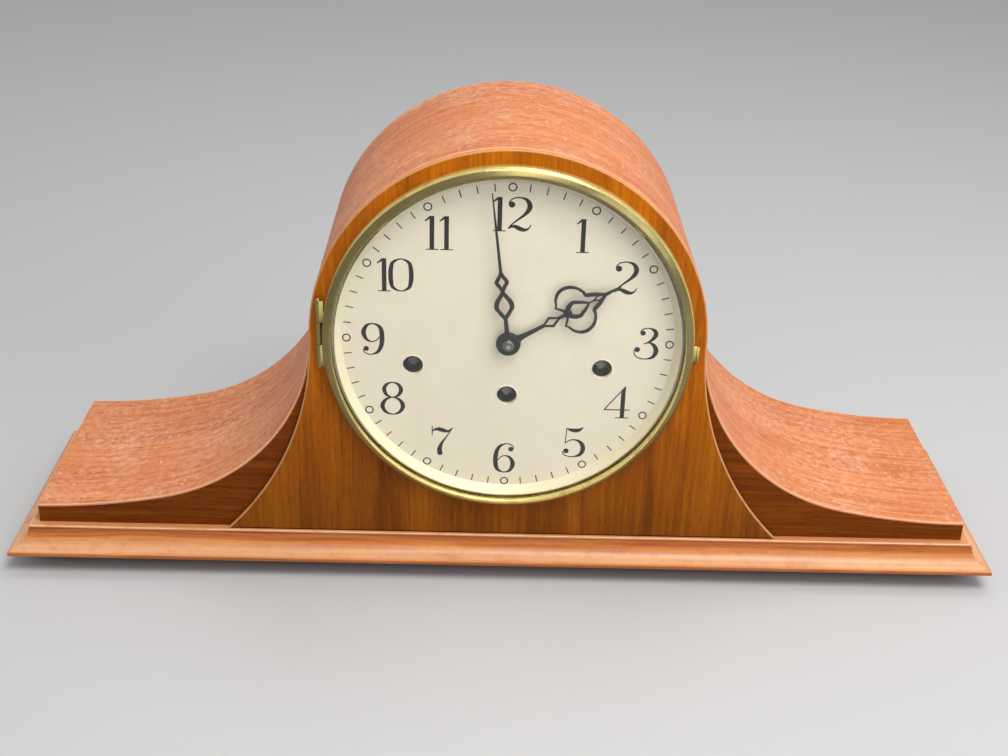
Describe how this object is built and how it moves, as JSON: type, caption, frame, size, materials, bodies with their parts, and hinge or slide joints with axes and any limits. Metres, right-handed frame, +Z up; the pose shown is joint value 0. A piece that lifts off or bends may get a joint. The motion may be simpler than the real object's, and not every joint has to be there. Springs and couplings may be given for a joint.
{
  "type": "mantel clock",
  "caption": "Low, wide mantel clock with a round dial in a hump-backed wooden case, a hinged glazed bezel, a rear door and a key-wound chiming movement.",
  "frame": {"origin": "middle of the whole clock's width and depth, on the table", "axes": "+X along the case to the dial's right, +Y from the dial to the back, +Z up"},
  "size_m": [0.533, 0.1454, 0.2405],
  "materials": {
    "case_wood": "satin",
    "panel_wood": "satin",
    "moulding_wood": "satin",
    "hidden_wood": "matte",
    "felt": "matte",
    "bezel_brass": "polished",
    "dial_silver": "satin",
    "glass": "polished",
    "hand_black": "satin",
    "movement_brass": "satin",
    "movement_steel": "satin",
    "chime_iron": "matte"
  },
  "bodies": {
    "case": {"base_board": "case_wood", "foot_pads": "felt", "moulding_front": "moulding_wood", "moulding_left": "moulding_wood", "moulding_right": "moulding_wood", "front_board": "case_wood", "centre_panel": "panel_wood", "top_skin": "case_wood", "wing_tip_blocks": "hidden_wood", "back_board": "case_wood", "back_hinge_fixed": "movement_brass", "back_hinge_pins": "movement_steel", "dial_pan": "dial_silver", "dial_feet": "movement_brass", "bezel_hinge_fixed": "bezel_brass", "bezel_hinge_pin": "bezel_brass", "ratchet_clicks": "movement_steel", "front_plate": "movement_brass", "back_plate": "movement_brass", "plate_pillars": "movement_steel", "movement_straps": "movement_steel", "balance_bracket": "movement_brass", "chime_block": "chime_iron", "chime_rods": "movement_brass", "hammer_bracket": "movement_steel"},
    "glazed_bezel": {"bezel_ring": "bezel_brass", "crystal": "glass", "crystal_clips": "movement_brass", "bezel_tab": "bezel_brass", "bezel_hinge_moving": "bezel_brass"},
    "rear_door": {"back_door": "case_wood", "back_hinge_moving": "movement_brass", "door_knob": "movement_brass"},
    "minute_work": {"minute_hand": "hand_black", "hand_nut": "hand_black", "cannon_pinion": "movement_steel", "centre_arbor": "movement_brass"},
    "hour_work": {"hour_hand": "hand_black", "hour_wheel": "movement_brass"},
    "motion_work": {"minute_wheel": "movement_brass"},
    "time_drum": {"time_barrel": "movement_brass"},
    "strike_drum": {"strike_barrel": "movement_brass"},
    "chime_drum": {"chime_barrel": "movement_brass"},
    "time_winder": {"time_winding_arbor": "movement_steel"},
    "strike_winder": {"strike_winding_arbor": "movement_steel"},
    "chime_winder": {"chime_winding_arbor": "movement_steel"},
    "second_arbor": {"second_wheel": "movement_brass"},
    "third_arbor": {"third_wheel": "movement_brass"},
    "escape_arbor": {"escape_wheel": "movement_brass"},
    "lever": {"pallet_lever": "movement_steel"},
    "balance": {"balance_wheel": "movement_brass", "balance_spring": "movement_steel"},
    "hammer_1": {"chime_hammer_1": "movement_brass"},
    "hammer_2": {"chime_hammer_2": "movement_brass"},
    "hammer_3": {"chime_hammer_3": "movement_brass"},
    "hammer_4": {"chime_hammer_4": "movement_brass"},
    "hammer_5": {"chime_hammer_5": "movement_brass"}
  },
  "joints": [
    {"name": "bezel_hinge", "type": "hinge", "parent": "case", "child": "glazed_bezel", "pos_m": [-0.0958, -0.06345, 0.143], "axis": [0, 0, 1], "range_deg": [-110, 0]},
    {"name": "door_hinge", "type": "hinge", "parent": "case", "child": "rear_door", "pos_m": [-0.0777, 0.0653, 0.09], "axis": [0, 0, 1], "range_deg": [0, 110]},
    {"name": "minute_turn", "type": "hinge", "parent": "case", "child": "minute_work", "pos_m": [0, -0.05785, 0.139], "axis": [0, 1, 0], "continuous": true},
    {"name": "hour_turn", "type": "hinge", "parent": "case", "child": "hour_work", "pos_m": [0, -0.05185, 0.139], "axis": [0, 1, 0], "continuous": true},
    {"name": "motion_turn", "type": "hinge", "parent": "case", "child": "motion_work", "pos_m": [-0.00848, -0.04885, 0.14749], "axis": [0, 1, 0], "continuous": true},
    {"name": "second_turn", "type": "hinge", "parent": "case", "child": "second_arbor", "pos_m": [0.01128, -0.01785, 0.13064], "axis": [0, 1, 0], "continuous": true},
    {"name": "third_turn", "type": "hinge", "parent": "case", "child": "third_arbor", "pos_m": [-0.01091, -0.01785, 0.1453], "axis": [0, 1, 0], "continuous": true},
    {"name": "escape_turn", "type": "hinge", "parent": "case", "child": "escape_arbor", "pos_m": [-0.01371, -0.01785, 0.15573], "axis": [0, 1, 0], "continuous": true},
    {"name": "time_drum_turn", "type": "hinge", "parent": "case", "child": "time_drum", "pos_m": [0, -0.01785, 0.1081], "axis": [0, 1, 0], "continuous": true},
    {"name": "strike_drum_turn", "type": "hinge", "parent": "case", "child": "strike_drum", "pos_m": [-0.0486, -0.01785, 0.1243], "axis": [0, 1, 0], "continuous": true},
    {"name": "chime_drum_turn", "type": "hinge", "parent": "case", "child": "chime_drum", "pos_m": [0.0486, -0.01785, 0.1243], "axis": [0, 1, 0], "continuous": true},
    {"name": "time_winding", "type": "hinge", "parent": "case", "child": "time_winder", "pos_m": [0, -0.03785, 0.1081], "axis": [0, 1, 0], "continuous": true},
    {"name": "strike_winding", "type": "hinge", "parent": "case", "child": "strike_winder", "pos_m": [-0.0486, -0.03785, 0.1243], "axis": [0, 1, 0], "continuous": true},
    {"name": "chime_winding", "type": "hinge", "parent": "case", "child": "chime_winder", "pos_m": [0.0486, -0.03785, 0.1243], "axis": [0, 1, 0], "continuous": true},
    {"name": "lever_swing", "type": "hinge", "parent": "case", "child": "lever", "pos_m": [-0.01371, 0.00215, 0.16713], "axis": [0, 1, 0], "range_deg": [-4, 4]},
    {"name": "balance_swing", "type": "hinge", "parent": "case", "child": "balance", "pos_m": [-0.034, 0.02215, 0.169], "axis": [0, 0, 1], "range_deg": [-150, 150]},
    {"name": "hammer_lift_1", "type": "hinge", "parent": "case", "child": "hammer_1", "pos_m": [0.034, 0.01415, 0.08], "axis": [0, 1, 0], "range_deg": [-24, 0]},
    {"name": "hammer_lift_2", "type": "hinge", "parent": "case", "child": "hammer_2", "pos_m": [0.034, 0.02215, 0.08], "axis": [0, 1, 0], "range_deg": [-24, 0]},
    {"name": "hammer_lift_3", "type": "hinge", "parent": "case", "child": "hammer_3", "pos_m": [0.034, 0.03015, 0.08], "axis": [0, 1, 0], "range_deg": [-24, 0]},
    {"name": "hammer_lift_4", "type": "hinge", "parent": "case", "child": "hammer_4", "pos_m": [0.034, 0.03815, 0.08], "axis": [0, 1, 0], "range_deg": [-24, 0]},
    {"name": "hammer_lift_5", "type": "hinge", "parent": "case", "child": "hammer_5", "pos_m": [0.034, 0.04615, 0.08], "axis": [0, 1, 0], "range_deg": [-24, 0]}
  ],
  "couplings": [
    {"joint": "hour_turn", "follows": "minute_turn", "ratio": 0.083333},
    {"joint": "motion_turn", "follows": "minute_turn", "ratio": -0.33333},
    {"joint": "second_turn", "follows": "minute_turn", "ratio": -0.5},
    {"joint": "time_drum_turn", "follows": "minute_turn", "ratio": 0.083333},
    {"joint": "third_turn", "follows": "minute_turn", "ratio": -6},
    {"joint": "escape_turn", "follows": "minute_turn", "ratio": 30}
  ]
}
